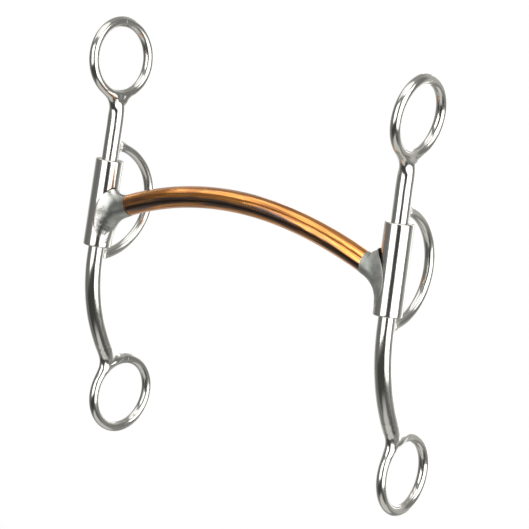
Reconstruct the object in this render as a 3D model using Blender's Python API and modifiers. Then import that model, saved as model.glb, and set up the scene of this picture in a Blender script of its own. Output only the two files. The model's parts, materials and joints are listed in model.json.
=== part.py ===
"""Loose-cheek lever bit with a bowed copper mouth bar. Metres, +Z up.

The mouthpiece is a steel core inside a copper cover, welded at each end to a
plain sleeve. Each cheek is one round shank that runs through its sleeve and
swivels there. The cheek carries a purchase ring at the top, a half-round rein
dee behind the sleeve and a curb ring at the foot of the swept-back shank.

Origin: middle of the mouth bar's centreline. +X runs to the right cheek, +Y to
the rein side behind the bit, +Z up to the purchase rings.
"""

import math

import bmesh
import bpy
from mathutils import Matrix, Vector

# --- Driving dimensions -------------------------------------------------------
MOUTH_WIDTH = 0.127          # clear width between the two sleeves, 5 inches
BAR_RADIUS = 0.00425         # outside of the copper cover
CORE_RADIUS = 0.0029
BOW_HEIGHT = 0.0183          # rise of the bar between its ends
BOW_TILT = math.radians(15.5)   # the bow leans forward by this much
COVER_LEFT_END = -0.0545     # the copper ends here, along X: it sits a little to the right
COVER_RIGHT_END = 0.0582

SLEEVE_RADIUS = 0.0056
SLEEVE_LENGTH = 0.0352
SLEEVE_CHAMFER = 0.0004
BAR_END_DROP = 0.0050        # the bar meets the sleeve this far below its middle
SLEEVE_LEAN = math.radians(1.2)   # the sleeves' tops lean towards each other

ROD_RADIUS = 0.00335
SWIVEL_CLEARANCE = 0.0003    # between the shank and the sleeve's bore
SHANK_TOP = 0.0362           # heights along the sleeve's axis, from its middle
SHANK_BEND_START = -0.0225
SHANK_BEND_RADIUS = 0.065
SHANK_SWEEP = math.radians(30.8)
SHANK_FOOT = 0.0150          # straight run from the bend to the curb ring's wire

PURCHASE_CENTRE = 0.0570
PURCHASE_RADIUS = 0.0146     # to the middle of the wire
PURCHASE_WIRE = 0.00205
PURCHASE_FLARE = math.radians(6.5)   # the ring leans away from the horse
FLARE_START = 0.0384

CURB_RADIUS = 0.0145
CURB_WIRE = 0.0020
CURB_OFFSET = 0.0014         # the ring's centre sits behind the shank's line

DEE_REACH = 0.0245           # the dee is half an ellipse, behind the shank
DEE_HALF_HEIGHT = 0.0225
DEE_WIRE = 0.0020
DEE_WELD_REACH = 0.0056      # the weld bead covers the wire up to here
DEE_WELD_SWELL = 1.35        # the bead's root radius over the wire's

ROOT_WELD_LENGTH = 0.0062    # blend between a shank's end and a ring's wire
ROOT_WELD_WIDTH = 0.0070

COLLAR_UP = 0.0105           # half-height of a mouth weld where it meets the sleeve
COLLAR_SIDE = 0.0053

GAP = 0.0003                 # kept between neighbouring solids

# --- Facets -------------------------------------------------------------------
ROUND_STEPS = 24
RING_STEPS = 40
RING_SIDES = 12
BAR_POINTS = 22
BEND_POINTS = 9
DEE_POINTS = 21
LOFT_SECTIONS = 7

# --- Worked-out places --------------------------------------------------------
SLEEVE_X = MOUTH_WIDTH / 2 + SLEEVE_RADIUS
SLEEVE_Y = BOW_HEIGHT * math.sin(BOW_TILT)
SLEEVE_Z = BAR_END_DROP - BOW_HEIGHT * math.cos(BOW_TILT)

# side: -1 left, +1 right. turn: how far the cheek's back has swung towards +X.
# ride: how far the cheek has slid up its sleeve.
CHEEKS = (
    {"name": "left", "side": -1, "turn": math.radians(9.5), "ride": 0.0011},
    {"name": "right", "side": 1, "turn": math.radians(1.5), "ride": 0.0002},
)


# --- Scene, materials and helpers ---------------------------------------------
def clear_scene():
    for thing in list(bpy.data.objects):
        bpy.data.objects.remove(thing, do_unlink=True)


def new_collection(name):
    collection = bpy.data.collections.new(name)
    bpy.context.scene.collection.children.link(collection)
    return collection


def metal(name, colour, roughness):
    material = bpy.data.materials.new(name)
    material.use_nodes = True
    shader = material.node_tree.nodes["Principled BSDF"]
    shader.inputs["Base Color"].default_value = (*colour, 1.0)
    shader.inputs["Metallic"].default_value = 1.0
    shader.inputs["Roughness"].default_value = roughness
    return material


def add_object(name, data, collection, parent=None, material=None):
    """Link an object; its own material is a named copy of the one given."""
    thing = bpy.data.objects.new(name, data)
    collection.objects.link(thing)
    thing.parent = parent
    if material is not None:
        own = material.copy()
        own.name = name + "_" + material.name
        data.materials.append(own)
    return thing


def smooth(mesh):
    mesh.shade_smooth()
    mesh.set_sharp_from_angle(angle=math.radians(40))


def wire(name, points, radius, swells=None):
    """A round wire through the points; swells scales its radius at each point."""
    curve = bpy.data.curves.new(name, "CURVE")
    curve.dimensions = "3D"
    curve.bevel_depth = radius
    curve.bevel_resolution = 4
    curve.use_fill_caps = True
    curve.render_resolution_u = 0
    spline = curve.splines.new("POLY")
    spline.points.add(len(points) - 1)
    for index, place in enumerate(points):
        spline.points[index].co = (*place, 1.0)
        if swells is not None:
            spline.points[index].radius = swells[index]
    return curve


def wire_mesh(name, points, radius, swells=None):
    """The same wire as a closed mesh, for a piece that is cut or cuts."""
    curve = wire(name + "_path", points, radius, swells)
    holder = bpy.data.objects.new(name + "_path", curve)
    bpy.context.scene.collection.objects.link(holder)
    bpy.context.view_layer.update()
    graph = bpy.context.evaluated_depsgraph_get()
    mesh = bpy.data.meshes.new_from_object(holder.evaluated_get(graph))
    mesh.name = name
    bpy.data.objects.remove(holder, do_unlink=True)
    shape = bmesh.new()
    shape.from_mesh(mesh)
    bmesh.ops.remove_doubles(shape, verts=shape.verts, dist=0.00001)
    shape.to_mesh(mesh)
    shape.free()
    smooth(mesh)
    return mesh


def loft(name, sections):
    """A closed skin over rings of points that all have the same count."""
    shape = bmesh.new()
    rings = [[shape.verts.new(point) for point in section] for section in sections]
    count = len(rings[0])
    for low, high in zip(rings, rings[1:]):
        for index in range(count):
            after = (index + 1) % count
            shape.faces.new((low[index], low[after], high[after], high[index]))
    shape.faces.new(reversed(rings[0]))
    shape.faces.new(rings[-1])
    bmesh.ops.recalc_face_normals(shape, faces=shape.faces)
    mesh = bpy.data.meshes.new(name)
    shape.to_mesh(mesh)
    shape.free()
    smooth(mesh)
    return mesh


def oval(centre, across, through, half_across, half_through):
    """Points of an ellipse about centre, in the plane of two unit vectors."""
    points = []
    for step in range(ROUND_STEPS):
        angle = 2 * math.pi * step / ROUND_STEPS
        along = across * (half_across * math.cos(angle))
        off = through * (half_through * math.sin(angle))
        points.append(centre + along + off)
    return points


def torus_mesh(name, radius, wire_radius):
    """A ring about the local X axis, from Blender's torus."""
    bpy.ops.mesh.primitive_torus_add(
        major_radius=radius,
        minor_radius=wire_radius,
        major_segments=RING_STEPS,
        minor_segments=RING_SIDES,
    )
    ring = bpy.context.active_object
    mesh = ring.data
    mesh.name = name
    bpy.data.objects.remove(ring, do_unlink=True)
    mesh.transform(Matrix.Rotation(math.radians(90), 4, "Y"))
    mesh.shade_smooth()
    return mesh


def cylinder_mesh(name, radius, length):
    shape = bmesh.new()
    bmesh.ops.create_cone(
        shape,
        cap_ends=True,
        segments=2 * ROUND_STEPS,
        radius1=radius,
        radius2=radius,
        depth=length,
    )
    mesh = bpy.data.meshes.new(name)
    shape.to_mesh(mesh)
    shape.free()
    return mesh


def cutter(name, mesh, parent=None, place=Matrix.Identity(4)):
    thing = add_object(name, mesh, cutters, parent)
    thing.matrix_local = place
    thing.hide_render = True
    thing.display_type = "WIRE"
    return thing


def cut(thing, tool):
    modifier = thing.modifiers.new("cut_" + tool.name, "BOOLEAN")
    modifier.operation = "DIFFERENCE"
    modifier.solver = "EXACT"
    modifier.object = tool


# --- Mouthpiece ---------------------------------------------------------------
def bar_point(share):
    """A parabola through the origin; share runs from -1 to 1, sleeve to sleeve."""
    drop = BOW_HEIGHT * share * share
    return Vector((share * SLEEVE_X, math.sin(BOW_TILT) * drop, -math.cos(BOW_TILT) * drop))


def bar_points(left, right):
    """The bar's centreline between two places along X."""
    steps = [step / BAR_POINTS for step in range(BAR_POINTS + 1)]
    return [bar_point((left + (right - left) * step) / SLEEVE_X) for step in steps]


def sleeve_frame(cheek):
    """The sleeve's place: its middle on the axis, with the top leaning inwards."""
    lean = Matrix.Rotation(-cheek["side"] * SLEEVE_LEAN, 4, "Y")
    place = Vector((cheek["side"] * SLEEVE_X, SLEEVE_Y, SLEEVE_Z))
    return Matrix.Translation(place) @ lean


def make_sleeve(cheek):
    """A turned tube: a closed profile at +X, screwed round the axis."""
    bore = ROD_RADIUS + SWIVEL_CLEARANCE
    top = SLEEVE_LENGTH / 2
    edge = SLEEVE_CHAMFER
    profile = (
        (bore, top),
        (SLEEVE_RADIUS - edge, top),
        (SLEEVE_RADIUS, top - edge),
        (SLEEVE_RADIUS, edge - top),
        (SLEEVE_RADIUS - edge, -top),
        (bore, -top),
    )
    shape = bmesh.new()
    corners = [shape.verts.new((radius, 0.0, height)) for radius, height in profile]
    for index, corner in enumerate(corners):
        shape.edges.new((corner, corners[(index + 1) % len(corners)]))
    mesh = bpy.data.meshes.new(cheek["name"] + "_sleeve")
    shape.to_mesh(mesh)
    shape.free()
    sleeve = add_object(cheek["name"] + "_sleeve", mesh, parts, material=steel)
    sleeve.matrix_world = sleeve_frame(cheek)
    screw = sleeve.modifiers.new("turn", "SCREW")
    screw.steps = 2 * ROUND_STEPS
    screw.render_steps = 2 * ROUND_STEPS
    screw.use_merge_vertices = True
    screw.merge_threshold = 0.00001
    screw.use_smooth_shade = True
    return sleeve


def make_sleeve_cutter(cheek):
    mesh = cylinder_mesh(cheek["name"] + "_sleeve_room", SLEEVE_RADIUS + GAP, 2 * SLEEVE_LENGTH)
    return cutter(cheek["name"] + "_sleeve_room", mesh, place=sleeve_frame(cheek))


def make_core(sleeve_cutters):
    mesh = wire_mesh("mouth_core", bar_points(-SLEEVE_X, SLEEVE_X), CORE_RADIUS)
    core = add_object("mouth_core", mesh, parts, material=steel)
    for tool in sleeve_cutters:
        cut(core, tool)
    return core


def make_cover(core_room):
    mesh = wire_mesh("mouth_cover", bar_points(COVER_LEFT_END, COVER_RIGHT_END), BAR_RADIUS)
    cover = add_object("mouth_cover", mesh, parts, material=copper)
    cut(cover, core_room)
    return cover


def make_mouth_weld(cheek, sleeve_tool, core_room):
    """A collar that spreads from the bar's round end to a tall foot on the sleeve."""
    cover_end = COVER_LEFT_END if cheek["side"] < 0 else COVER_RIGHT_END
    start = (abs(cover_end) + GAP) / SLEEVE_X
    sections = []
    for step in range(LOFT_SECTIONS + 1):
        part = step / LOFT_SECTIONS
        share = start + (1.0 - start) * part
        centre = bar_point(cheek["side"] * share)
        ahead = bar_point(cheek["side"] * (share + 0.01)) - centre
        spread = part ** 2
        # The section turns from square on the bar to upright along the sleeve.
        along = ahead.normalized().lerp(Vector((cheek["side"], 0, 0)), part).normalized()
        up = along.cross(Vector((0, 1, 0))).normalized()
        side = up.cross(along)
        half_up = BAR_RADIUS + (COLLAR_UP - BAR_RADIUS) * spread
        half_side = BAR_RADIUS + (COLLAR_SIDE - BAR_RADIUS) * spread
        sections.append(oval(centre, up, side, half_up, half_side))
    name = cheek["name"] + "_mouth_weld"
    weld = add_object(name, loft(name, sections), parts, material=weld_steel)
    cut(weld, sleeve_tool)
    cut(weld, core_room)
    return weld


# --- Cheeks: local X points away from the horse, Y back, Z up the sleeve --------
def lower_line(distance):
    """Centreline below the sleeve: place and heading, by length from the bend."""
    arc = SHANK_BEND_RADIUS * SHANK_SWEEP
    angle = min(distance / SHANK_BEND_RADIUS, SHANK_SWEEP)
    back = SHANK_BEND_RADIUS * (1 - math.cos(angle))
    height = SHANK_BEND_START - SHANK_BEND_RADIUS * math.sin(angle)
    heading = Vector((0, math.sin(angle), -math.cos(angle)))
    straight = max(distance - arc, 0.0)
    return Vector((0, back, height)) + heading * straight, heading


def shank_points():
    arc = SHANK_BEND_RADIUS * SHANK_SWEEP
    end = arc + SHANK_FOOT - ROOT_WELD_LENGTH
    points = [Vector((0, 0, SHANK_TOP)), Vector((0, 0, SHANK_BEND_START))]
    points += [lower_line(arc * step / BEND_POINTS)[0] for step in range(1, BEND_POINTS + 1)]
    points.append(lower_line(end)[0])
    return points


def dee_point(angle):
    """Half an ellipse: angle 0 is its top end on the shank, pi its bottom end."""
    return Vector((0, DEE_REACH * math.sin(angle), DEE_HALF_HEIGHT * math.cos(angle)))


def root_weld_sections(start, heading, across, outward, length, wire_radius, drift, lift):
    """Ovals from a shank's round end to a ring's wire, wider and thinner as they go."""
    sections = []
    for step in range(LOFT_SECTIONS + 1):
        part = step / LOFT_SECTIONS
        centre = start + heading * (GAP + (length - GAP) * part)
        centre += across * (drift * part * part) + outward * (lift * part * part)
        half_across = ROD_RADIUS + (ROOT_WELD_WIDTH - ROD_RADIUS) * part ** 2.2
        half_through = ROD_RADIUS + (wire_radius - ROD_RADIUS) * part
        sections.append(oval(centre, across, outward, half_across, half_through))
    return sections


def make_cheek_pivot(cheek):
    """The empty whose local Z is the swivel axis; its origin is the sleeve's middle."""
    pivot = bpy.data.objects.new(cheek["name"] + "_cheek_pivot", None)
    parts.objects.link(pivot)
    turn = Matrix.Rotation(-cheek["turn"], 4, "Z")
    pivot.matrix_world = sleeve_frame(cheek) @ turn
    return pivot


def make_cheek(cheek):
    name = cheek["name"]
    pivot = make_cheek_pivot(cheek)
    out = Vector((cheek["side"], 0, 0))
    back = Vector((0, 1, 0))
    slide = Matrix.Translation((0, 0, cheek["ride"]))

    def place(thing, local=Matrix.Identity(4)):
        thing.matrix_local = slide @ local
        return thing

    shank = wire(name + "_shank", shank_points(), ROD_RADIUS)
    place(add_object(name + "_shank", shank, parts, pivot, steel))

    # Purchase ring, flared outwards, and the blend that joins it to the shank.
    lift = math.tan(PURCHASE_FLARE) * (PURCHASE_CENTRE - FLARE_START)
    purchase = Matrix.Translation(Vector((0, 0, PURCHASE_CENTRE)) + out * lift)
    purchase = purchase @ Matrix.Rotation(cheek["side"] * PURCHASE_FLARE, 4, "Y")
    ring = torus_mesh(name + "_purchase_ring", PURCHASE_RADIUS, PURCHASE_WIRE)
    place(add_object(name + "_purchase_ring", ring, parts, pivot, steel), purchase)
    room = torus_mesh(name + "_purchase_room", PURCHASE_RADIUS, PURCHASE_WIRE + GAP)
    room = cutter(name + "_purchase_room", room, pivot, slide @ purchase)
    reach = PURCHASE_CENTRE - PURCHASE_RADIUS - SHANK_TOP
    tip = lift - math.tan(PURCHASE_FLARE) * PURCHASE_RADIUS
    sections = root_weld_sections(
        Vector((0, 0, SHANK_TOP)), Vector((0, 0, 1)), back, out, reach, PURCHASE_WIRE, 0.0, tip
    )
    weld = loft(name + "_purchase_weld", sections)
    weld = place(add_object(name + "_purchase_weld", weld, parts, pivot, steel))
    cut(weld, room)

    # Curb ring on the end of the lower shank, and its blend.
    arc = SHANK_BEND_RADIUS * SHANK_SWEEP
    foot, heading = lower_line(arc + SHANK_FOOT)
    across = Vector((0, math.cos(SHANK_SWEEP), math.sin(SHANK_SWEEP)))
    curb = Matrix.Translation(foot + heading * CURB_RADIUS + across * CURB_OFFSET)
    ring = torus_mesh(name + "_curb_ring", CURB_RADIUS, CURB_WIRE)
    place(add_object(name + "_curb_ring", ring, parts, pivot, steel), curb)
    room = torus_mesh(name + "_curb_room", CURB_RADIUS, CURB_WIRE + GAP)
    room = cutter(name + "_curb_room", room, pivot, slide @ curb)
    start = lower_line(arc + SHANK_FOOT - ROOT_WELD_LENGTH)[0]
    sections = root_weld_sections(
        start, heading, across, out, ROOT_WELD_LENGTH, CURB_WIRE, CURB_OFFSET / 2, 0.0
    )
    weld = loft(name + "_curb_weld", sections)
    weld = place(add_object(name + "_curb_weld", weld, parts, pivot, steel))
    cut(weld, room)

    # Rein dee, and the bead at each of its ends, cut to the shank.
    edge = math.asin((DEE_WELD_REACH + GAP) / DEE_REACH)
    turns = [edge + (math.pi - 2 * edge) * step / DEE_POINTS for step in range(DEE_POINTS + 1)]
    dee = wire(name + "_rein_dee", [dee_point(angle) for angle in turns], DEE_WIRE)
    place(add_object(name + "_rein_dee", dee, parts, pivot, steel))
    shank_room = cylinder_mesh(name + "_shank_room", ROD_RADIUS + GAP, 4 * DEE_HALF_HEIGHT)
    shank_room = cutter(name + "_shank_room", shank_room, pivot, slide)
    inner = math.asin(0.4 * ROD_RADIUS / DEE_REACH)
    outer = math.asin(DEE_WELD_REACH / DEE_REACH)
    steps = [step / LOFT_SECTIONS for step in range(LOFT_SECTIONS + 1)]
    swells = [1 + (DEE_WELD_SWELL - 1) * (1 - part) ** 2 for part in steps]
    for level, mirrored in (("upper", False), ("lower", True)):
        turns = [inner + (outer - inner) * part for part in steps]
        if mirrored:
            turns = [math.pi - angle for angle in turns]
        label = name + "_dee_" + level + "_weld"
        bead = wire_mesh(label, [dee_point(angle) for angle in turns], DEE_WIRE, swells)
        bead = place(add_object(label, bead, parts, pivot, weld_steel))
        cut(bead, shank_room)


# --- Build --------------------------------------------------------------------
clear_scene()
parts = new_collection("lever_bit")
cutters = new_collection("lever_bit_cutters")

steel = metal("polished_stainless", (0.60, 0.60, 0.58), 0.12)
weld_steel = metal("matte_weld_steel", (0.34, 0.34, 0.33), 0.5)
copper = metal("worn_copper", (0.80, 0.40, 0.18), 0.25)

core_room_mesh = wire_mesh("core_room", bar_points(-SLEEVE_X, SLEEVE_X), CORE_RADIUS + GAP)
core_room = cutter("core_room", core_room_mesh)
sleeve_rooms = [make_sleeve_cutter(cheek) for cheek in CHEEKS]

make_core(sleeve_rooms)
make_cover(core_room)
for cheek, sleeve_room in zip(CHEEKS, sleeve_rooms):
    make_sleeve(cheek)
    make_mouth_weld(cheek, sleeve_room, core_room)
    make_cheek(cheek)
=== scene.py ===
# %% [markdown]
# # A lever bit with a bowed copper mouth
# The CAD frame already holds every rod, ring, sleeve and weld of this bit at its
# true place. This lesson gives each of them the surface that a finished bit has:
# exactly round wire, welds that run smoothly from one piece into the next, and
# polished steel and worn copper.
#
# The frame is loaded first, because every later size and place is read from it.

# %% Load the frame
import json
import math

import bpy
import numpy as np
from mathutils import Matrix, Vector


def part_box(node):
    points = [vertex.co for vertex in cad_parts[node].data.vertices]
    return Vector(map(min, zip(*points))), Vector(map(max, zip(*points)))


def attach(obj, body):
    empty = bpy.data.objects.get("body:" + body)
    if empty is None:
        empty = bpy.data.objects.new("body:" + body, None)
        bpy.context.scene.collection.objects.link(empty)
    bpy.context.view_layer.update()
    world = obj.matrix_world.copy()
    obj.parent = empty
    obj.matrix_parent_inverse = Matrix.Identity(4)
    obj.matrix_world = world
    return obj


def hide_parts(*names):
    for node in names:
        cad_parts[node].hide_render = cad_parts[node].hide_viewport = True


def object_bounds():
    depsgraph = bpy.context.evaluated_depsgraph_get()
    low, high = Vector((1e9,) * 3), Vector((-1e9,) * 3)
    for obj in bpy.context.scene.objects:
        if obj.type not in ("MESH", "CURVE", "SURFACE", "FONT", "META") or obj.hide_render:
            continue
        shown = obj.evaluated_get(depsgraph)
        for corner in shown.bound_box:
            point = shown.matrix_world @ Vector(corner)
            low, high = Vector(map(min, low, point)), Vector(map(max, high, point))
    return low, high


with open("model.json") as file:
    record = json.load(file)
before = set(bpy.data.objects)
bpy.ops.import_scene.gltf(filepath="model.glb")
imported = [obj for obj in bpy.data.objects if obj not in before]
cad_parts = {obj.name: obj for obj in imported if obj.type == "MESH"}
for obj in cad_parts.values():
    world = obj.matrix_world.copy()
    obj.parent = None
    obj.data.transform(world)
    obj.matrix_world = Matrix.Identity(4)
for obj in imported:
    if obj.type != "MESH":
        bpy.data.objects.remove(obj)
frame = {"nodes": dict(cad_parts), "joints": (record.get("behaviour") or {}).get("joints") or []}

CAD_BOX = [list(corner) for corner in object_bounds()]
print("CAD box, metres:", CAD_BOX)

# %% [markdown]
# ## Reading sizes from the solids
# A ring could be placed by typing its centre and radius again, but then the
# looks and the CAD could drift apart. The solids already know: a ring's centre
# is the middle of its box, its axis is the direction in which its points spread
# least, and its wire is half of what lies between its inner and outer radius.

# %% Measure the rings and the shanks
SIDES = ("left", "right")


def unit(vector):
    return vector / np.linalg.norm(vector)


def corners_of(node):
    """All points of a CAD node, as an (n, 3) array in metres."""
    mesh = frame["nodes"][node].data
    points = np.empty(len(mesh.vertices) * 3)
    mesh.vertices.foreach_get("co", points)
    return points.reshape(-1, 3)


def middle_of(node):
    low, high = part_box(node)
    return (np.array(low) + np.array(high)) / 2


def measure_ring(node, outward):
    """Centre, axis, radius and wire radius of a CAD ring."""
    centre = middle_of(node)
    points = corners_of(node) - centre
    axis = np.linalg.svd(points, full_matrices=False)[2][2]
    axis = axis * np.sign(axis @ outward)
    flat = points - np.outer(points @ axis, axis)
    reach = np.linalg.norm(flat, axis=1)
    return {
        "centre": centre,
        "axis": axis,
        "radius": (reach.max() + reach.min()) / 2,
        "wire": (reach.max() - reach.min()) / 2,
    }


def measure_cheek(side):
    """The cheek's own axes at the middle of its sleeve, and the sizes of its rod and rings."""
    joint = next(j for j in frame["joints"] if j["child"] == side + "_cheek")
    hub = np.array(joint["pos_m"], float)
    up = unit(np.array(joint["axis"], float))
    up = up * np.sign(up[2])
    to_curb = middle_of(side + "_curb_ring") - hub
    back = unit(to_curb - up * (to_curb @ up))
    out = np.cross(back, up) * np.sign(hub[0])
    shank = corners_of(side + "_shank") - hub
    above = shank[shank @ up > 0]
    rod = np.linalg.norm(above - np.outer(above @ up, up), axis=1).max()
    return {
        "hub": hub,
        "up": up,
        "back": back,
        "out": out,
        "rod": rod,
        "ride": (middle_of(side + "_rein_dee") - hub) @ up,
        "purchase": measure_ring(side + "_purchase_ring", out),
        "curb": measure_ring(side + "_curb_ring", out),
    }


cheeks = {side: measure_cheek(side) for side in SIDES}
for side, cheek in cheeks.items():
    ring = cheek["purchase"]
    print(
        side,
        "cheek: rod %.2f mm, ring %.2f mm, wire %.2f mm, ride %.2f mm"
        % tuple(1000 * x for x in (cheek["rod"], ring["radius"], ring["wire"], cheek["ride"])),
    )

# %% [markdown]
# ## From a grid of points to a piece
# Every surface here is a grid: its rows run along the piece and its columns run
# round it. A grid can be closed in two ways. A rod ends, so each end gets a fan of
# triangles to one pole. A ring or the wall of a tube comes back to its first row.
#
# Each point also keeps where it would be if the wire were straight. Draw marks and
# polishing lines run along the wire, so the materials read that and not the bent
# shape.

# %% Turn a grid into a closed mesh
SHARP_FROM = math.radians(50)    # only a turned end's corner is sharper than this


def signed_volume(points, quads):
    """Sum over the quads of a . (b x c) / 6 for both halves: positive if the faces look outwards."""
    a, b, c, d = (points[quads[:, k]] for k in range(4))
    return (np.cross(b, c) * a).sum() / 6 + (np.cross(c, d) * a).sum() / 6


def make_piece(name, grid, straight, looped=False, poles=None):
    """Skin a (rows, columns, 3) grid. Looped: last row joins first. Else a pole closes each end."""
    rows, columns, _ = grid.shape
    index = np.arange(rows * columns).reshape(rows, columns)
    here = index if looped else index[:-1]
    after = np.roll(index, -1, axis=0) if looped else index[1:]
    quads = np.stack([here, np.roll(here, -1, 1), np.roll(after, -1, 1), after], -1)
    quads = quads.reshape(-1, 4)
    points = grid.reshape(-1, 3)
    straight = straight.reshape(-1, 3)
    fans = np.empty((0, 3), int)
    if not looped:
        ends = grid[[0, -1]].mean(axis=1) if poles is None else np.array(poles)
        first, last = index[0], index[-1]
        start = np.full(columns, len(points))
        fans = np.concatenate([
            np.stack([np.roll(first, -1), first, start], 1),
            np.stack([last, np.roll(last, -1), start + 1], 1),
        ])
        points = np.concatenate([points, ends])
        straight = np.concatenate([straight, straight[[0, -1]]])
    if signed_volume(points - points.mean(axis=0), quads) < 0:
        quads = quads[:, ::-1]
        fans = fans[:, ::-1]
    mesh = bpy.data.meshes.new(name)
    mesh.from_pydata(points.tolist(), [], quads.tolist() + fans.tolist())
    mesh.shade_smooth()
    mesh.set_sharp_from_angle(angle=SHARP_FROM)
    mark = mesh.attributes.new("straight", "FLOAT_VECTOR", "POINT")
    mark.data.foreach_set("vector", straight.astype(np.float32).ravel())
    piece = bpy.data.objects.new(name, mesh)
    bpy.context.scene.collection.objects.link(piece)
    return piece


def stands_for(piece, node, body, material):
    """The piece takes the CAD node's place, rides on its body and gets its finish."""
    piece.data.materials.append(material)
    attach(piece, body)
    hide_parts(node)
    print("%-30s %6d faces, rides on %s" % (piece.name, len(piece.data.polygons), body))


print("corners sharper than %.0f degrees stay crisp" % math.degrees(SHARP_FROM))


# %% [markdown]
# ## Round wire along a line
# A rod, a ring and a dee are the same thing: a circle carried along a centreline.
# Each centreline here lies in one plane, so one direction across it, the plane's
# normal, never turns. The other is the cross product of that normal and the
# line's direction. A curve object with a bevel would do the same, but it gives no
# hold on the radius, and this way the rod can carry the slight unevenness that
# drawing and hand polishing leave.

# %% Carry a circle along a centreline
ROUND = 64               # points round a wire
WAVER = 0.000012         # how far hand polishing leaves a wire from round, 12 microns
WAVER_LENGTH = 0.011     # one swell along the wire is about this long


def travelled(line):
    """Length along a line of points, from its start."""
    steps = np.linalg.norm(np.diff(line, axis=0), axis=1)
    return np.concatenate([[0.0], np.cumsum(steps)])


def circle_grid(line, normal, radii, looped=False):
    """P(s, a) = C(s) + r(s, a) (cos a N + sin a M), N the plane's normal, M across it and the line."""
    if looped:
        headings = np.roll(line, -1, axis=0) - np.roll(line, 1, axis=0)
    else:
        headings = np.gradient(line, axis=0)
    headings = headings / np.linalg.norm(headings, axis=1, keepdims=True)
    across = np.cross(normal, headings)
    angle = np.linspace(0, 2 * np.pi, ROUND, endpoint=False)
    length = travelled(line)[:, None]
    radii = np.broadcast_to(np.asarray(radii, float), (len(line),))[:, None]
    turns = 2 * np.pi * np.round(length[-1] / WAVER_LENGTH) / length[-1]
    waver = WAVER * np.sin(turns * length + 2 * angle) * np.cos(3 * angle + 0.5 * turns * length)
    radius = (radii + waver)[..., None]
    ring = np.cos(angle)[None, :, None] * normal + np.sin(angle)[None, :, None] * across[:, None]
    grid = line[:, None] + radius * ring
    straight = np.stack(
        np.broadcast_arrays(length, radii * np.cos(angle), radii * np.sin(angle)), axis=-1
    )
    return grid, straight


print("wire: %d points round, wavering by %.0f microns" % (ROUND, 1e6 * WAVER))

# %% [markdown]
# ## Welds that flow from one piece into the next
# A polished weld has no edge. The wire widens and becomes the ring. Boolean and
# bevel tools leave a hard rim or break on such shapes. Distance fields describe
# them in one line: each piece is the set of points at distance zero, and a *smooth
# minimum* of two distances is zero on a surface that follows both pieces and fills
# the corner between them.
#
# The weld's skin starts as straight lines from a circle on one piece to an oval on
# the other. Then every point slides down the slope of the blended distance until it
# lies on the surface.

# %% Distance fields and how they blend
def distance_to_rod(points, start, end, radius_start, radius_end):
    """Distance to the nearest point of a segment, less a radius that eases along it."""
    along = end - start
    share = ((points - start) @ along / (along @ along)).clip(0, 1)
    radius = radius_start + (radius_end - radius_start) * share ** 4
    return np.linalg.norm(points - start - share[..., None] * along, axis=-1) - radius


def distance_to_tube(points, middle, axis, radius):
    """Distance to an endless straight line, less the radius."""
    away = points - middle
    away = away - (away @ axis)[..., None] * axis
    return np.linalg.norm(away, axis=-1) - radius


def distance_to_ring(points, ring):
    """Distance to the ring's centre circle, less the wire's radius."""
    away = points - ring["centre"]
    height = away @ ring["axis"]
    flat = away - height[..., None] * ring["axis"]
    return np.hypot(np.linalg.norm(flat, axis=-1) - ring["radius"], height) - ring["wire"]


def blended(one, other, reach):
    """Smooth minimum: the lower of the two, and less where they differ by under the reach."""
    share = (0.5 + 0.5 * (other - one) / reach).clip(0, 1)
    return other + (one - other) * share - reach * share * (1 - share)


NUDGE = 1e-6             # step for measuring a slope, metres
STEP_SHARE = 0.9         # a little less than Newton's whole step, so that tight corners settle
LEAST_SLOPE = 0.05       # a squared slope below this counts as this


def slope_of(field, points):
    """Central differences of a field along X, Y and Z."""
    steps = NUDGE * np.eye(3)
    return np.stack([field(points + s) - field(points - s) for s in steps], -1) / (2 * NUDGE)


def settled(points, field, rounds=12):
    """Newton's step, repeated: point = point - field * slope / |slope|^2."""
    for _ in range(rounds):
        slope = slope_of(field, points)
        size = (slope ** 2).sum(axis=-1, keepdims=True).clip(LEAST_SLOPE)
        points = points - STEP_SHARE * field(points)[..., None] * slope / size
    return points


touching = np.zeros(1)
fill = -blended(touching, touching, 0.004)[0]
print("where two surfaces meet, a 4 mm blend fills %.1f mm" % (1000 * fill))

# %% Stretch a weld's skin between two pieces
SKIN_ROWS = 72
PROUD = 0.000008         # the skin lies this far over the pieces that it joins, too little to see
TUCK = 0.00005           # and its foot dips this far into them,
TUCK_SHARE = 0.04        # over this last share of its length
CALM_SHARE = 0.2         # lumps fade out over this share at either rim
LUMP_SIZE = 0.0007
START_REACH = 0.0002     # every blend begins this short, so that a skin leaves its wire smoothly


def eased(share):
    """3 s^2 - 2 s^3: goes from 0 to 1 and is level at both ends."""
    share = np.clip(share, 0, 1)
    return share * share * (3 - 2 * share)


def lumps(points, size):
    """Three crossed sine waves about this size in metres: a height between -1 and 1."""
    x, y, z = np.moveaxis(points / size, -1, 0)
    return (np.sin(x + 1.7 * y) + np.sin(1.3 * y - z + 1.1) + np.sin(1.9 * z + 0.8 * x + 2.3)) / 3


def weld_grid(start_curve, end_curve, field, lump_height, lump_size=LUMP_SIZE):
    """P(t, a) = (1 - t) A(a) + t B(a), settled on the field, then raised by fading lumps."""
    share = np.linspace(0, 1, SKIN_ROWS)[:, None, None]
    grid = start_curve * (1 - share) + end_curve * share
    grid = settled(grid, field)
    slope = slope_of(field, grid)
    outward = slope / np.linalg.norm(slope, axis=-1, keepdims=True)
    calm = eased(share / CALM_SHARE) * eased((1 - share) / CALM_SHARE)
    rise = lump_height * calm * lumps(grid, lump_size)[..., None]
    dip = TUCK * eased((share - (1 - TUCK_SHARE)) / TUCK_SHARE)
    return grid + (PROUD + rise - dip) * outward


ANGLES = np.linspace(0, 2 * np.pi, ROUND, endpoint=False)[:, None]


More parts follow.
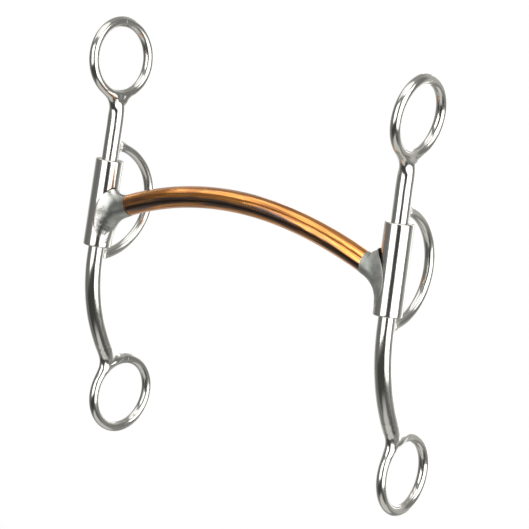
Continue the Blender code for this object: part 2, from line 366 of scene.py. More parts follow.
def circle_at(centre, one, other, radius):
    """C + r (cos a A + sin a B), as (points, 3)."""
    return centre + radius * (np.cos(ANGLES) * one + np.sin(ANGLES) * other)


def weld_marks(grid):
    """A weld has no straight state: its marks are the share along it, 1 at the foot, and round it."""
    share = np.linspace(0, 1, len(grid))[:, None]
    turn = np.arange(ROUND) / ROUND
    return np.stack(np.broadcast_arrays(share, turn, 0.0), axis=-1)


print("weld skin: %d rows of %d points" % (SKIN_ROWS, ROUND))

# %% [markdown]
# ## Polished stainless steel
# Bits are drawn stainless rod, bent, welded and polished on a wheel. The metal
# itself has almost no colour: what the eye reads is the room. So the base colour is
# a plain light grey, and the work is in the gloss. The wheel runs along the wire
# and leaves faint lines in that direction, with patches that are a little duller.
# Real lines are a few hundredths of a millimetre apart, too fine to show, so they
# are drawn about half a millimetre apart and very shallow.

# %% Colours and nodes
def linear(hex_colour):
    """An sRGB hex colour as linear values, with alpha 1."""
    parts = np.array([int(hex_colour[k:k + 2], 16) for k in (1, 3, 5)]) / 255
    parts = np.where(parts <= 0.04045, parts / 12.92, ((parts + 0.055) / 1.055) ** 2.4)
    return (*parts.tolist(), 1.0)


def add_node(tree, kind, output, inputs=None, **settings):
    """Add a node and give back one output. inputs maps a socket to a value, or to an output."""
    node = tree.nodes.new(kind)
    for key, value in settings.items():
        setattr(node, key, value)
    for key, value in (inputs or {}).items():
        if isinstance(value, bpy.types.NodeSocket):
            tree.links.new(value, node.inputs[key])
        else:
            node.inputs[key].default_value = value
    return node.outputs[output]


def new_metal(name, colour, roughness):
    """A bare metal, ready for its finish."""
    material = bpy.data.materials.new(name)
    material.use_nodes = True
    tree = material.node_tree
    shader = tree.nodes["Principled BSDF"]
    shader.inputs["Base Color"].default_value = linear(colour)
    shader.inputs["Metallic"].default_value = 1.0
    shader.inputs["Roughness"].default_value = roughness
    return tree, shader, material


def streaks(tree, length_mm, width_mm, detail=2.0):
    """A pattern on the straightened wire, drawn out along it: one streak is length by width."""
    place = add_node(tree, "ShaderNodeAttribute", "Vector", attribute_name="straight")
    scale = (1000 / length_mm, 1000 / width_mm, 1000 / width_mm)
    sized = add_node(tree, "ShaderNodeMapping", "Vector", {"Vector": place, "Scale": scale})
    size = {"Vector": sized, "Scale": 1.0, "Detail": detail}
    return add_node(tree, "ShaderNodeTexNoise", "Fac", size)


print("mid grey in linear light: %.3f" % linear("#808080")[0])

# %% Polished stainless steel
def polished_stainless():
    tree, shader, material = new_metal("wheel_polished_stainless", "#CFCDC8", 0.14)
    lines = streaks(tree, 14, 0.55)
    patches = streaks(tree, 16, 5, detail=3.0)
    rough = add_node(
        tree,
        "ShaderNodeMapRange",
        "Result",
        {"Value": patches, "From Min": 0.35, "From Max": 0.7, "To Min": 0.11, "To Max": 0.2},
    )
    tree.links.new(rough, shader.inputs["Roughness"])
    shade = add_node(
        tree, "ShaderNodeMapRange", "Result", {"Value": lines, "From Min": 0.3, "From Max": 0.7}
    )
    shades = {0: shade, 6: linear("#C9C7C1"), 7: linear("#D6D5D1")}
    colour = add_node(tree, "ShaderNodeMix", 2, shades, data_type="RGBA")
    tree.links.new(colour, shader.inputs["Base Color"])
    fine = add_node(
        tree,
        "ShaderNodeBump",
        "Normal",
        {"Height": lines, "Strength": 0.12, "Distance": 0.00003},
    )
    soft = add_node(
        tree,
        "ShaderNodeBump",
        "Normal",
        {"Height": patches, "Strength": 0.35, "Distance": 0.00012, "Normal": fine},
    )
    tree.links.new(soft, shader.inputs["Normal"])
    return material


steel = polished_stainless()
print("made", steel.name)

# %% [markdown]
# ## The grey weld
# The welds between the mouth bar and the sleeves were blasted, not polished. Fine
# grit leaves a skin of tiny pits, so it scatters light evenly and looks mid grey
# from every side. It is the same steel, with a rough, grainy surface and a slightly
# uneven tone. The right weld is matt all over. The left one was brushed by the
# polishing wheel at its foot, so there it turns as bright as the sleeve. Real grit
# marks are finer than these, which are half a millimetre apart so that they show.

# %% Blasted weld steel
WIPE_SHARE = 0.45        # share of the weld's length over which matt turns to bright


def blasted_weld(name, wiped_from, roughness):
    """Gritty grey steel that turns bright past this share of the weld's length."""
    tree, shader, material = new_metal(name, "#A9ABA6", roughness)
    place = add_node(tree, "ShaderNodeTexCoord", "Object")
    grain = add_node(
        tree, "ShaderNodeTexNoise", "Fac", {"Vector": place, "Scale": 2200.0, "Detail": 3.0}
    )
    cloud = add_node(
        tree, "ShaderNodeTexNoise", "Fac", {"Vector": place, "Scale": 330.0, "Detail": 2.0}
    )
    marks = add_node(tree, "ShaderNodeAttribute", "Vector", attribute_name="straight")
    along = add_node(tree, "ShaderNodeSeparateXYZ", "X", {"Vector": marks})
    wiped = add_node(
        tree,
        "ShaderNodeMapRange",
        "Result",
        {"Value": along, "From Min": wiped_from, "From Max": wiped_from + WIPE_SHARE},
    )
    tone = add_node(
        tree, "ShaderNodeMapRange", "Result", {"Value": cloud, "From Min": 0.3, "From Max": 0.7}
    )
    greys = {0: tone, 6: linear("#9A9C97"), 7: linear("#BABCB7")}
    blasted = add_node(tree, "ShaderNodeMix", 2, greys, data_type="RGBA")
    ends = {0: wiped, 6: blasted, 7: linear("#CFCDC8")}
    colour = add_node(tree, "ShaderNodeMix", 2, ends, data_type="RGBA")
    tree.links.new(colour, shader.inputs["Base Color"])
    rough = add_node(
        tree,
        "ShaderNodeMapRange",
        "Result",
        {
            "Value": grain,
            "From Min": 0.3,
            "From Max": 0.7,
            "To Min": roughness - 0.06,
            "To Max": roughness + 0.06,
        },
    )
    gloss = add_node(tree, "ShaderNodeMix", 0, {0: wiped, 2: rough, 3: 0.15})
    tree.links.new(gloss, shader.inputs["Roughness"])
    pits = add_node(
        tree,
        "ShaderNodeBump",
        "Normal",
        {"Height": grain, "Strength": 0.5, "Distance": 0.00012},
    )
    tree.links.new(pits, shader.inputs["Normal"])
    return material


wiped_weld = blasted_weld("wiped_weld_steel", 0.52, 0.38)
matt_weld = blasted_weld("grit_blasted_weld_steel", 0.85, 0.56)
print("made", wiped_weld.name, "and", matt_weld.name)

# %% [markdown]
# ## Worn copper
# The mouth is copper because horses take to its taste. It is soft, so a cloth and
# the horse's teeth leave long shallow scratches, and it browns in the air. The
# brown skin is thin and uneven: it lies in streaks along the bar, duller than the
# bright metal between them. Along the front a ragged band is coloured nearly black.
# A thin clear film of wax lies over it all, so the strongest glints are almost
# white and not copper coloured.

# %% Worn copper
BAR_RADIUS = 0.00425
DARK_BAND_TILT = math.radians(4)      # the black band's middle lies this far below the bar's front


def worn_copper():
    tree, shader, material = new_metal("rubbed_copper_with_tarnish", "#E99C55", 0.16)
    fine = streaks(tree, 9, 0.35, detail=3.0)
    broad = streaks(tree, 22, 1.5, detail=3.0)
    rubbing = add_node(
        tree, "ShaderNodeMapRange", "Result", {"Value": fine, "From Min": 0.35, "From Max": 0.65}
    )
    coppers = {0: rubbing, 6: linear("#E08228"), 7: linear("#F6B05C")}
    bright = add_node(tree, "ShaderNodeMix", 2, coppers, data_type="RGBA")
    brown = add_node(
        tree,
        "ShaderNodeMapRange",
        "Result",
        {"Value": broad, "From Min": 0.46, "From Max": 0.62, "To Max": 0.8},
    )
    browned = {0: brown, 6: bright, 7: linear("#9E602A")}
    rubbed = add_node(tree, "ShaderNodeMix", 2, browned, data_type="RGBA")
    place = add_node(tree, "ShaderNodeAttribute", "Vector", attribute_name="straight")
    # A ragged band along the bar's front, its middle a little below it, is coloured near black.
    dark_band_way = (0.0, -math.cos(DARK_BAND_TILT) / BAR_RADIUS, math.sin(DARK_BAND_TILT) / BAR_RADIUS)
    forward = add_node(
        tree, "ShaderNodeVectorMath", "Value", {0: place, 1: dark_band_way}, operation="DOT_PRODUCT"
    )
    tatter = add_node(
        tree,
        "ShaderNodeMapRange",
        "Result",
        {"Value": broad, "From Min": 0.3, "From Max": 0.7, "To Min": -0.14, "To Max": 0.1},
    )
    ragged = add_node(tree, "ShaderNodeMath", "Value", {0: forward, 1: tatter})
    dark_band = add_node(
        tree,
        "ShaderNodeMapRange",
        "Result",
        {"Value": ragged, "From Min": 0.84, "From Max": 0.97, "To Max": 0.85},
    )
    dark_front_mix = {0: dark_band, 6: rubbed, 7: linear("#4C4A4C")}
    colour = add_node(tree, "ShaderNodeMix", 2, dark_front_mix, data_type="RGBA")
    tree.links.new(colour, shader.inputs["Base Color"])
    rough = add_node(
        tree,
        "ShaderNodeMapRange",
        "Result",
        {"Value": broad, "From Min": 0.4, "From Max": 0.7, "To Min": 0.1, "To Max": 0.26},
    )
    tree.links.new(rough, shader.inputs["Roughness"])
    shader.inputs["Coat Weight"].default_value = 0.8
    shader.inputs["Coat Roughness"].default_value = 0.08
    lines = add_node(
        tree, "ShaderNodeBump", "Normal", {"Height": fine, "Strength": 0.4, "Distance": 0.00006}
    )
    soft = add_node(
        tree,
        "ShaderNodeBump",
        "Normal",
        {"Height": broad, "Strength": 0.5, "Distance": 0.00016, "Normal": lines},
    )
    tree.links.new(soft, shader.inputs["Normal"])
    return material


copper = worn_copper()
print("made", copper.name)

# %% [markdown]
# ## The shanks
# Each cheek hangs on one round shank. It runs straight down through its sleeve,
# sweeps back in one even bend and ends straight. The bend is an arc that starts and
# ends in line with its neighbours, so the reflections run through it unbroken.

# %% Shanks
BEND_START = -0.0225     # height along the shank, from the cheek's middle
BEND_RADIUS = 0.065
SWEEP = math.radians(30.8)
LINE_STEP = 0.0012
BEND_ROWS = 40
FOOT_ROWS = 10
ROOT_LENGTH = 0.0120     # a weld takes over from the shank this far from the ring's wire


def place_in_cheek(cheek, out=0.0, back=0.0, up=0.0):
    """Cheek measures (out, back, up from the cheek's own middle) as a world place."""
    parts = (out, cheek["out"]), (back, cheek["back"]), (up + cheek["ride"], cheek["up"])
    return cheek["hub"] + sum(np.multiply.outer(np.asarray(size), way) for size, way in parts)


def foot_of(cheek):
    """Where the lower shank's line meets the curb ring's wire, and the line's heading."""
    heading = math.sin(SWEEP) * cheek["back"] - math.cos(SWEEP) * cheek["up"]
    bend_end = place_in_cheek(
        cheek, 0.0, BEND_RADIUS * (1 - math.cos(SWEEP)), BEND_START - BEND_RADIUS * math.sin(SWEEP)
    )
    ring = cheek["curb"]
    run = (ring["centre"] - bend_end) @ heading - ring["radius"]
    return bend_end + run * heading, heading, run


def top_of(cheek):
    """Height where the upper weld takes over from the shank."""
    ring = cheek["purchase"]
    height = (ring["centre"] - cheek["hub"]) @ cheek["up"] - cheek["ride"]
    return height - ring["radius"] - ROOT_LENGTH


def shank_line(cheek):
    """Straight, arc, straight: the arc's back is r (1 - cos a) and its drop r sin a."""
    top = top_of(cheek)
    high = np.linspace(top, BEND_START, round((top - BEND_START) / LINE_STEP), endpoint=False)
    angle = np.linspace(0, SWEEP, BEND_ROWS)
    back = np.concatenate([0 * high, BEND_RADIUS * (1 - np.cos(angle))])
    up = np.concatenate([high, BEND_START - BEND_RADIUS * np.sin(angle)])
    line = place_in_cheek(cheek, 0 * up, back, up)
    _, heading, run = foot_of(cheek)
    share = np.linspace(0, 1, FOOT_ROWS)[1:, None]
    return np.concatenate([line, line[-1] + share * heading * (run - ROOT_LENGTH)])


for side, cheek in cheeks.items():
    grid, straight = circle_grid(shank_line(cheek), cheek["out"], cheek["rod"])
    piece = make_piece(side + "_shank_rod", grid, straight)
    stands_for(piece, side + "_shank", side + "_cheek", steel)

# %% [markdown]
# ## The rings
# The purchase rings at the top take the headstall and the curb rings at the foot
# take the reins. Each is a wire bent into a circle. The centre, axis and size were
# measured off the CAD ring, so the outward flare of the top rings comes along.

# %% Rings
RING_ROWS = 160


def ring_axes(ring, towards):
    """Two directions in the ring's plane: one towards a given way, one across it."""
    main = unit(towards - (towards @ ring["axis"]) * ring["axis"])
    return main, np.cross(ring["axis"], main)


for side, cheek in cheeks.items():
    for kind in ("purchase", "curb"):
        ring = cheek[kind]
        main, across = ring_axes(ring, cheek["up"])
        turn = np.linspace(0, 2 * np.pi, RING_ROWS, endpoint=False)[:, None]
        line = ring["centre"] + ring["radius"] * (np.cos(turn) * main + np.sin(turn) * across)
        grid, straight = circle_grid(line, ring["axis"], ring["wire"], looped=True)
        piece = make_piece(side + "_" + kind + "_ring_wire", grid, straight, looped=True)
        node = side + "_" + kind + "_ring"
        stands_for(piece, node, side + "_cheek", steel)

# %% [markdown]
# ## Where a shank becomes a ring
# The shank's end is forged down and welded to the wire, and the wheel then rounds
# the corners. Seen from the side the joint spreads along the ring, and seen from
# the front it only thins from the rod to the wire. The reach of the blend is
# therefore long in the ring's plane and short across it.

# %% Ring welds
ROOT_SPREAD = math.radians(46)   # how far round the ring the weld reaches each way
NECK = 0.62              # the rod is forged down to this share of its radius
NECK_SINK = 0.7          # and ends this many wire radii outside the ring's centre circle
REACH_THROUGH = 0.0012   # the blend's reach across the ring's plane
REACH_IN_PLANE = 0.0056  # and what it gains in the ring's plane
REACH_GROWS = 0.3        # share of the weld over which the reach grows to this
LUMPS = {"purchase": 0.00001, "curb": 0.00003}


def patch_on_ring(ring, towards, spread, side_way):
    """An oval on the ring's outer side: ring angle = spread cos a, wire angle = 90 degrees sin a."""
    main, across = ring_axes(ring, towards)
    across = across * np.sign(across @ side_way)
    turn = spread * np.cos(ANGLES)
    tilt = np.pi / 2 * np.sin(ANGLES)
    spoke = np.cos(turn) * main + np.sin(turn) * across
    middle = ring["centre"] + ring["radius"] * spoke
    return middle + ring["wire"] * (np.cos(tilt) * spoke + np.sin(tilt) * ring["axis"])


def root_weld(cheek, kind, start, in_plane):
    """From the rod's end circle at start to an oval patch on the ring."""
    ring = cheek[kind]
    towards = start - ring["centre"]
    main, _ = ring_axes(ring, towards)
    touch = ring["centre"] + main * (ring["radius"] + NECK_SINK * ring["wire"])
    length = np.linalg.norm(touch - start)

    def field(points):
        rod = distance_to_rod(points, start, touch, cheek["rod"], NECK * cheek["rod"])
        wire = distance_to_ring(points, ring)
        away = points - start
        sideways = away @ in_plane
        through = away @ cheek["out"]
        plane_share = sideways ** 2 / (sideways ** 2 + through ** 2 + 1e-9)
        begun = eased((away @ (touch - start)) / length ** 2 / REACH_GROWS)
        reach = REACH_THROUGH + REACH_IN_PLANE * plane_share
        return blended(rod, wire, START_REACH + reach * begun)

    circle = circle_at(start, in_plane, cheek["out"], cheek["rod"])
    patch = patch_on_ring(ring, towards, ROOT_SPREAD, in_plane)
    return weld_grid(circle, patch, field, LUMPS[kind]), (start, touch)


for side, cheek in cheeks.items():
    foot, heading, _ = foot_of(cheek)
    foot_start = foot - ROOT_LENGTH * heading
    across_foot = math.cos(SWEEP) * cheek["back"] + math.sin(SWEEP) * cheek["up"]
    jobs = (
        ("purchase", place_in_cheek(cheek, up=top_of(cheek)), cheek["back"]),
        ("curb", foot_start, across_foot),
    )
    for kind, start, in_plane in jobs:
        grid, poles = root_weld(cheek, kind, start, in_plane)
        piece = make_piece(side + "_" + kind + "_root", grid, grid - start, poles=poles)
        node = side + "_" + kind + "_weld"
        stands_for(piece, node, side + "_cheek", steel)

# %% [markdown]
# ## The rein dees
# Behind each sleeve a thinner wire stands out in half an ellipse. Reins buckle to
# it, and because it is welded to the shank above and below the sleeve it also stops
# the cheek from sliding out.

# %% Rein dees
DEE_HALF_HEIGHT = 0.0225
DEE_WIRE = 0.0020
DEE_ROWS = 140
DEE_END = 1.3            # the wire stops this many rod radii behind the shank's line, in its bead


def dee_reach(cheek, side):
    """How far the wire's centreline stands out behind the shank's line."""
    backs = (corners_of(side + "_rein_dee") - cheek["hub"]) @ cheek["back"]
    return backs.max() - DEE_WIRE


for side, cheek in cheeks.items():
    cheek["dee"] = dee_reach(cheek, side)
    inset = math.asin(DEE_END * cheek["rod"] / cheek["dee"])
    angle = np.linspace(inset, np.pi - inset, DEE_ROWS)
    line = place_in_cheek(
        cheek, 0 * angle, cheek["dee"] * np.sin(angle), DEE_HALF_HEIGHT * np.cos(angle)
    )
    grid, straight = circle_grid(line, cheek["out"], DEE_WIRE)
    piece = make_piece(side + "_rein_dee_wire", grid, straight)
    stands_for(piece, side + "_rein_dee", side + "_cheek", steel)

# %% [markdown]
# ## The dee's weld beads
# Each end of the dee sits in a small bead. The blend is short here, because a
# little rod of filler was enough and nobody dressed it afterwards.

# %% Dee weld beads
BEAD_START = 0.0066      # the bead leaves the wire this far behind the shank's line
BEAD_REACH = 0.0018
BEAD_HALF_WIDTH = math.radians(62)
BEAD_HALF_HEIGHT = 0.0036
BEAD_LUMPS = 0.00005
BEAD_LUMP_SIZE = 0.0004


def dee_bead(cheek, level):
    """From a circle on the dee's wire to an oval on the shank."""
    slant = math.asin(BEAD_START / cheek["dee"])
    height = level * DEE_HALF_HEIGHT
    near = place_in_cheek(cheek, 0.0, 0.0, height)
    far = place_in_cheek(cheek, 0.0, BEAD_START, height * math.cos(slant))
    heading = unit(
        cheek["dee"] * math.cos(slant) * cheek["back"] - height * math.sin(slant) * cheek["up"]
    )
    over = unit(np.cross(heading, cheek["out"]))

    def field(points):
        wire = distance_to_rod(points, far, near, DEE_WIRE, DEE_WIRE)
        shank = distance_to_tube(points, cheek["hub"], cheek["up"], cheek["rod"])
        return blended(wire, shank, BEAD_REACH)

    circle = circle_at(far, over * np.sign(over @ cheek["up"]), cheek["out"], DEE_WIRE)
    turn = BEAD_HALF_WIDTH * np.sin(ANGLES)
    spoke = np.cos(turn) * cheek["back"] + np.sin(turn) * cheek["out"]
    lift = BEAD_HALF_HEIGHT * np.cos(ANGLES) * cheek["up"]
    oval = near + cheek["rod"] * spoke + lift
    return weld_grid(circle, oval, field, BEAD_LUMPS, BEAD_LUMP_SIZE), (far, near)


for side, cheek in cheeks.items():
    for level, label in ((1, "upper"), (-1, "lower")):
        grid, poles = dee_bead(cheek, level)
        piece = make_piece(side + "_dee_" + label + "_bead", grid, grid - poles[0], poles=poles)
        node = side + "_dee_" + label + "_weld"
        stands_for(piece, node, side + "_cheek", steel)

# %% [markdown]
# ## The sleeves
# A sleeve is a turned tube with a running fit on the shank. Its wall is one closed
# profile carried round the axis. The outer corners are broken with a small round,
# as a file leaves them, because a dead sharp edge never catches a highlight.

# %% Sleeves
EDGE_ROUND = 0.0005
RUNNING_GAP = 0.0003     # between the shank and the sleeve's bore, all round
CORNER_ROWS = 7
WALL_ROWS = 30


def corner(x, z, radius, first):
    """Quarter circle of a corner, turning clockwise from the first angle: radius and height."""
    angle = first - np.linspace(0, np.pi / 2, CORNER_ROWS)
    return np.stack([x + radius * np.cos(angle), z + radius * np.sin(angle)], 1)


def sleeve_profile(outer, bore, half):
    """Radius and height of the wall, once round: down the outer side, up the bore."""
    edge, small = EDGE_ROUND, EDGE_ROUND / 2
    side = np.linspace(half - edge, edge - half, WALL_ROWS)[1:-1]
    return np.concatenate([
        corner(outer - edge, half - edge, edge, np.pi / 2),
        np.stack([0 * side + outer, side], 1),
        corner(outer - edge, edge - half, edge, 0.0),
        corner(bore + small, small - half, small, -np.pi / 2),
        corner(bore + small, half - small, small, np.pi),
    ])


for side, cheek in cheeks.items():
    points = corners_of(side + "_sleeve") - cheek["hub"]
    heights = points @ cheek["up"]
    outer = np.linalg.norm(points - np.outer(heights, cheek["up"]), axis=1).max()
    cheek["sleeve"] = outer
    profile = sleeve_profile(outer, cheek["rod"] + RUNNING_GAP, heights.max())
    forward = unit(np.cross(cheek["up"], (1.0, 0.0, 0.0)))
    sideways = np.cross(cheek["up"], forward)
    spoke = np.cos(ANGLES) * forward + np.sin(ANGLES) * sideways
    grid = cheek["hub"] + profile[:, None, :1] * spoke + profile[:, None, 1:] * cheek["up"]
    radii, heights = profile[:, :1], profile[:, 1:]
    turn = ANGLES[:, 0]
    straight = np.stack(
        np.broadcast_arrays(heights, radii * np.cos(turn), radii * np.sin(turn)), axis=-1
    )
    piece = make_piece(side + "_sleeve_tube", grid, straight, looped=True)
    stands_for(piece, side + "_sleeve", "mouthpiece", steel)

# %% [markdown]
# ## The copper mouth
# The bar rises in a shallow bow that leaves room for the tongue and leans a little
# forward. Its centreline is a parabola through the middle of the bar and the two
# points where it meets the sleeves. The copper is a tube over a steel core, so its
# wall is skinned outside and inside as one closed grid. Half a dozen shallow dents
# show where teeth and buckles have knocked it, most of them near the right end.

# %% Copper cover
BAR_END_DROP = 0.0050    # the bar meets a sleeve's axis this far below its middle
CORE_ROOM = 0.0032
COVER_ROWS = 260
COVER_LIP = 0.00035      # the cut ends are rounded this much
BOW_STEP = 0.0001        # step along X for finding the bow's direction
cover_low, cover_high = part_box("mouth_cover")

bow_end = cheeks["right"]["hub"] - np.array([0.0, 0.0, BAR_END_DROP])
bow_plane = unit(np.cross(bow_end * (1, 0, 0), bow_end * (0, 1, 1)))


def bow(x):
    """C(x) = (x, y_end u^2, z_end u^2) with u = x / x_end: a parabola in a leaning plane."""
    share = (np.asarray(x) / bow_end[0]) ** 2
    return np.stack([np.asarray(x), bow_end[1] * share, bow_end[2] * share], axis=-1)


def dents(line, grid):
    """Push in (centre x, angle, length, width, depth) as Gaussian hollows, sizes in metres."""
    hollows = (
        (0.0515, 0.9, 0.0011, 0.0009, 0.00010),
        (0.0480, 1.5, 0.0016, 0.0010, 0.00008),
        (0.0535, 2.0, 0.0009, 0.0012, 0.00009),
        (0.0330, 1.1, 0.0026, 0.0008, 0.00006),
        (-0.0410, 1.3, 0.0022, 0.0010, 0.00007),
        (-0.0120, 0.6, 0.0030, 0.0009, 0.00005),
    )
    angle = np.linspace(0, 2 * np.pi, ROUND, endpoint=False)[None]
    depth = np.zeros(grid.shape[:2])
    for x, turn, length, width, deep in hollows:
        sideways = BAR_RADIUS * np.angle(np.exp(1j * (angle - turn)))
        depth += deep * np.exp(-(((line[:, :1] - x) / length) ** 2) - (sideways / width) ** 2)
    inward = line[:, None] - grid
    return grid + depth[..., None] * inward / np.linalg.norm(inward, axis=-1, keepdims=True)


def cover_end(sign):
    """X of the copper's middle at one end. It is cut square to the bow: its box reaches past it."""
    reach = (cover_high if sign > 0 else cover_low)[0]
    heading = unit(bow(reach + BOW_STEP) - bow(reach))
    return reach - sign * BAR_RADIUS * math.sqrt(1 - heading[0] ** 2)


line = bow(np.linspace(cover_end(-1), cover_end(1), COVER_ROWS))
print("copper from x = %.1f to %.1f mm" % (1000 * line[0, 0], 1000 * line[-1, 0]))
length = travelled(line)
from_end = np.minimum(length, length[-1] - length)
ease = (1 - from_end / COVER_LIP).clip(0, 1)
outer_radii = BAR_RADIUS - COVER_LIP * (1 - np.sqrt(1 - ease ** 2))
outer_grid, outer_straight = circle_grid(line, bow_plane, outer_radii)
outer_grid = dents(line, outer_grid)
inner_grid, inner_straight = circle_grid(line, bow_plane, CORE_ROOM)
cover = make_piece(
    "mouth_cover_copper",
    np.concatenate([outer_grid, inner_grid[::-1]]),
    np.concatenate([outer_straight, inner_straight[::-1]]),
    looped=True,
)
stands_for(cover, "mouth_cover", "mouthpiece", copper)
frame["nodes"]["mouth_core"].data.materials.clear()
frame["nodes"]["mouth_core"].data.materials.append(steel)

# %% [markdown]
# ## The mouth welds
# At each end the bar spreads into its sleeve. The weld metal was laid on from above
# and from below, so the blend's reach is long there and short at the sides. The
# right weld also laps over the top of the copper. The skin's foot wraps half of the
# sleeve, and its closing pole stands in front of the bore so that the bore stays open.

# %% Mouth welds
WELD_UP = 0.0118         # the weld's foot on the sleeve, above and below the bar's line
WELD_DOWN = 0.0112
WELD_WRAP = math.radians(88)
SIDE_REACH = 0.0030      # the blend's reach at the bar's sides,
TOP_GAIN = 0.0060        # what it gains over the bar
BOTTOM_GAIN = 0.0042     # and under it,
REACH_IN = 0.0022        # and the length over which it grows to this
COLLAR_LUMPS = 0.00005
POLE_OUT = 1.3           # the closing pole, in sleeve radii from the sleeve's axis
RIGHT_LAP = 0.0018       # the right weld runs this far over the top of the copper
LAP_PROUD = 0.00003
COPPER_GAP = 0.00005     # between the copper's end and the weld
HEADING_STEP = 0.0004    # step along X for finding the bar's direction


def mouth_weld(cheek):
    """From a circle round the bar's end to an upright oval wrapped on the sleeve."""
    sign = np.sign(cheek["hub"][0])
    start = bow(cover_end(sign) + sign * COPPER_GAP)
    heading = unit(bow(cover_end(sign) + sign * HEADING_STEP) - start)
    end = bow(sign * abs(bow_end[0]))
    over = unit(np.cross(heading, bow_plane))
    over = over * np.sign(over[2])
    lap = RIGHT_LAP if sign > 0 else 0.0
    first = start - lap * heading

    def field(points):
        bar = distance_to_rod(points, first, end, BAR_RADIUS + LAP_PROUD, BAR_RADIUS)
        sleeve = distance_to_tube(points, cheek["hub"], cheek["up"], cheek["sleeve"])
        away = points - start
        away = away - (away @ heading)[..., None] * heading
        rise = (away @ over) / (np.linalg.norm(away, axis=-1) + 1e-6)
        over_gain = TOP_GAIN * rise.clip(0, 1) ** 2
        under_gain = BOTTOM_GAIN * (-rise).clip(0, 1) ** 2
        lapped = lap * (1 + rise) / 2
        begun = eased(((points - start) @ heading + lapped) / REACH_IN)
        reach = SIDE_REACH + over_gain + under_gain
        return blended(bar, sleeve, START_REACH + reach * begun)

    circle = circle_at(start, over, bow_plane, BAR_RADIUS + LAP_PROUD)
    circle = circle - lap * (1 + np.cos(ANGLES)) / 2 * heading
    inward = unit(-sign * np.array([1.0, 0.0, 0.0]))
    inward = unit(inward - (inward @ cheek["up"]) * cheek["up"])
    sideways = np.cross(cheek["up"], inward)
    sideways = sideways * np.sign(sideways @ bow_plane)
    turn = WELD_WRAP * np.sin(ANGLES)
    rise = np.cos(ANGLES)
    lift = np.where(rise > 0, WELD_UP, WELD_DOWN) * rise
    spoke = np.cos(turn) * inward + np.sin(turn) * sideways
    oval = end + cheek["sleeve"] * spoke + lift * cheek["up"]
    poles = start - lap / 2 * heading, end + POLE_OUT * cheek["sleeve"] * inward
    return weld_grid(circle, oval, field, COLLAR_LUMPS), poles


for side, cheek in cheeks.items():
    grid, poles = mouth_weld(cheek)
    piece = make_piece(side + "_mouth_collar", grid, weld_marks(grid), poles=poles)
    finish = wiped_weld if side == "left" else matt_weld
    stands_for(piece, side + "_mouth_weld", "mouthpiece", finish)

# %% [markdown]
# ## Camera
# The bit is seen from a little above and from its right, with a long lens from
# almost a metre away, so the near cheek is only slightly larger than the far one.
# The camera is tilted, so the bit leans to the right in the frame.

# %% Camera
LENS_MM = 172.7
DISTANCE = 0.9786
AZIMUTH = math.radians(34.28)
ELEVATION = math.radians(7.226)
ROLL = math.radians(8.102)
AIM_RIGHT = 0.008496     # the aim point, as a share of the distance, right of the cheeks' middle
AIM_UP = -0.011736


def camera_axes():
    """Right, up and forward of a camera at the azimuth and elevation, rolled about its view."""
    flat = np.array([math.cos(AZIMUTH), math.sin(AZIMUTH), 0.0])
    forward = np.array([
        -math.sin(AZIMUTH) * math.cos(ELEVATION),
        math.cos(AZIMUTH) * math.cos(ELEVATION),
        -math.sin(ELEVATION),
    ])
    high = np.cross(flat, forward)
    right = math.cos(ROLL) * flat + math.sin(ROLL) * high
    up = math.cos(ROLL) * high - math.sin(ROLL) * flat
    return right, up, forward


view_right, view_up, view_forward = camera_axes()
middle = (cheeks["left"]["hub"] + cheeks["right"]["hub"]) / 2
eye = middle - DISTANCE * view_forward
aim = unit(view_forward + AIM_RIGHT * view_right + AIM_UP * view_up)
aim_right = unit(np.cross(aim, view_up))
aim_up = np.cross(aim_right, aim)

camera = bpy.data.objects.new("camera", bpy.data.cameras.new("camera"))
camera.data.lens = LENS_MM
camera.data.sensor_width = 36.0
camera.data.clip_start = 0.05
camera.matrix_world = Matrix((
    (aim_right[0], aim_up[0], -aim[0], eye[0]),
    (aim_right[1], aim_up[1], -aim[1], eye[1]),
    (aim_right[2], aim_up[2], -aim[2], eye[2]),
    (0.0, 0.0, 0.0, 1.0),
))
bpy.context.scene.collection.objects.link(camera)
bpy.context.scene.camera = camera
print("camera at", np.round(eye, 3))

# %% [markdown]
# ## Studio
# Polished metal shows only what stands round it. Two tall soft boxes stand in front,
# left and right of the camera, with a dark gap between them: they give each rod its
# pair of white stripes and the dark line between. Two more hang overhead and one
# stands behind on the right. The rest of the room is painted in soft-edged greys,
# darkest between the front boxes and in a belt below them, where the dark lines
# and the copper's underside look. The floor and the far wall are plain white.

# %% Soft boxes
LIGHT_DISTANCE = 1.6


def soft_box(name, azimuth, elevation, width, height, slant, radiance):
    """A rectangle seen from the bit at these angles, in degrees, with azimuth 0 at the camera."""
    a, e, s = (math.radians(angle) for angle in (azimuth, elevation, slant))
    way = math.cos(e) * (math.sin(a) * view_right - math.cos(a) * view_forward)
    way = way + math.sin(e) * view_up
    level = math.cos(a) * view_right + math.sin(a) * view_forward
    rise = np.cross(way, level)
    right = math.cos(s) * level + math.sin(s) * rise
    up = math.cos(s) * rise - math.sin(s) * level
    data = bpy.data.lights.new(name, "AREA")
    data.shape = "RECTANGLE"
    data.size = 2 * LIGHT_DISTANCE * math.tan(math.radians(width / 2))
    data.size_y = 2 * LIGHT_DISTANCE * math.tan(math.radians(height / 2))
    data.energy = radiance * math.pi * data.size * data.size_y
    light = bpy.data.objects.new(name, data)
    place = middle + LIGHT_DISTANCE * way
    light.matrix_world = Matrix((
        (right[0], up[0], way[0], place[0]),
        (right[1], up[1], way[1], place[1]),
        (right[2], up[2], way[2], place[2]),
        (0.0, 0.0, 0.0, 1.0),
    ))
    bpy.context.scene.collection.objects.link(light)


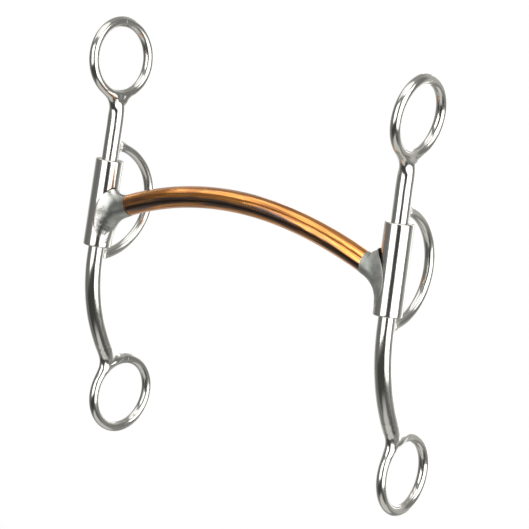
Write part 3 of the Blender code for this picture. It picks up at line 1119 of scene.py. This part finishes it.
SOFT_BOXES = (           # azimuth, elevation, width, height, slant, radiance
    ("soft_box_right", 43, -3, 60, 66, 12, 2.4),
    ("soft_box_left", -40, 6, 44, 46, 0, 2.2),
    ("soft_box_above_right", 12, 50, 40, 26, -20, 1.0),
    ("soft_box_top", -38, 70, 84, 42, 0, 1.2),
    ("soft_box_back", 150, 4, 50, 60, 0, 1.1),
)
for row in SOFT_BOXES:
    soft_box(*row)
print("hung", len(SOFT_BOXES), "soft boxes")

# %% The room's own light and its white ground
world = bpy.data.worlds.new("studio")
world.use_nodes = True
bpy.context.scene.world = world
tree = world.node_tree


way = add_node(tree, "ShaderNodeTexCoord", "Generated")
right_share, front_share, up_share = (
    add_node(tree, "ShaderNodeVectorMath", "Value", {0: way, 1: tuple(axis)}, operation="DOT_PRODUCT")
    for axis in (view_right, -view_forward, view_up)
)
azimuth = add_node(
    tree, "ShaderNodeMath", "Value", {0: right_share, 1: front_share}, operation="ARCTAN2"
)
elevation = add_node(tree, "ShaderNodeMath", "Value", {0: up_share}, operation="ARCSINE")

ROOM_PATCHES = (         # left, right, bottom, top and softness in degrees, and the grey
    (-200, 200, -90, -56, 6, 0.80),
    (-200, 200, 55, 90, 10, 0.40),
    (100, 175, -35, 50, 12, 0.60),
    (-130, -72, -40, 34, 10, 0.22),
    (-186, -136, -40, 50, 10, 0.60),
    (76, 104, -30, 44, 7, 0.25),
    (-92, 26, -54, -20, 5, 0.07),
    (10, 76, -66, -38, 6, 0.12),
    (-16, 10, -22, 24, 4, 0.07),
)
WARMTH = 0.97            # the greys hold a little less blue
tone = (0.30, 0.30, 0.29, 1.0)
for left, right, bottom, top, softness, grey in ROOM_PATCHES:
    rises = [         # each goes smoothly from 0 to 1 where the direction passes one edge
        add_node(
            tree,
            "ShaderNodeMapRange",
            "Result",
            {
                "Value": value,
                "From Min": math.radians(angle - softness),
                "From Max": math.radians(angle + softness),
            },
            interpolation_type="SMOOTHSTEP",
        )
        for value, angle in (
            (azimuth, left), (azimuth, right), (elevation, bottom), (elevation, top)
        )
    ]
    across, upward = (
        add_node(tree, "ShaderNodeMath", "Value", {0: low, 1: high}, operation="SUBTRACT")
        for low, high in (rises[:2], rises[2:])
    )
    inside = add_node(tree, "ShaderNodeMath", "Value", {0: across, 1: upward}, operation="MULTIPLY")
    paint = (grey, grey, WARMTH * grey, 1.0)
    tone = add_node(tree, "ShaderNodeMix", 2, {0: inside, 6: tone, 7: paint}, data_type="RGBA")
seen = add_node(tree, "ShaderNodeLightPath", "Is Camera Ray")
white = {0: seen, 6: tone, 7: (1.0, 1.0, 1.0, 1.0)}
tint = add_node(tree, "ShaderNodeMix", 2, white, data_type="RGBA")
background = tree.nodes["Background"]
tree.links.new(tint, background.inputs["Color"])
bpy.context.scene.view_settings.view_transform = "Standard"

FLOOR_DROP = 0.45        # the floor lies this far below the bit
FLOOR_SIZE = 60.0
bpy.ops.mesh.primitive_plane_add(size=FLOOR_SIZE, location=(0, 0, CAD_BOX[0][2] - FLOOR_DROP))
floor = bpy.context.active_object
floor.name = "pale_floor"
floor_material = bpy.data.materials.new("white_ground")
floor_material.use_nodes = True
floor_shader = floor_material.node_tree.nodes["Principled BSDF"]
floor_shader.inputs["Base Color"].default_value = linear("#000000")
floor_shader.inputs["Specular IOR Level"].default_value = 0.0
floor_shader.inputs["Emission Color"].default_value = linear("#FFFFFF")
floor_shader.inputs["Emission Strength"].default_value = 1.0
floor.data.materials.append(floor_material)
floor.visible_glossy = False
floor.visible_diffuse = False
floor.visible_shadow = False
print("painted", len(ROOM_PATCHES), "greys on the room and laid the floor")
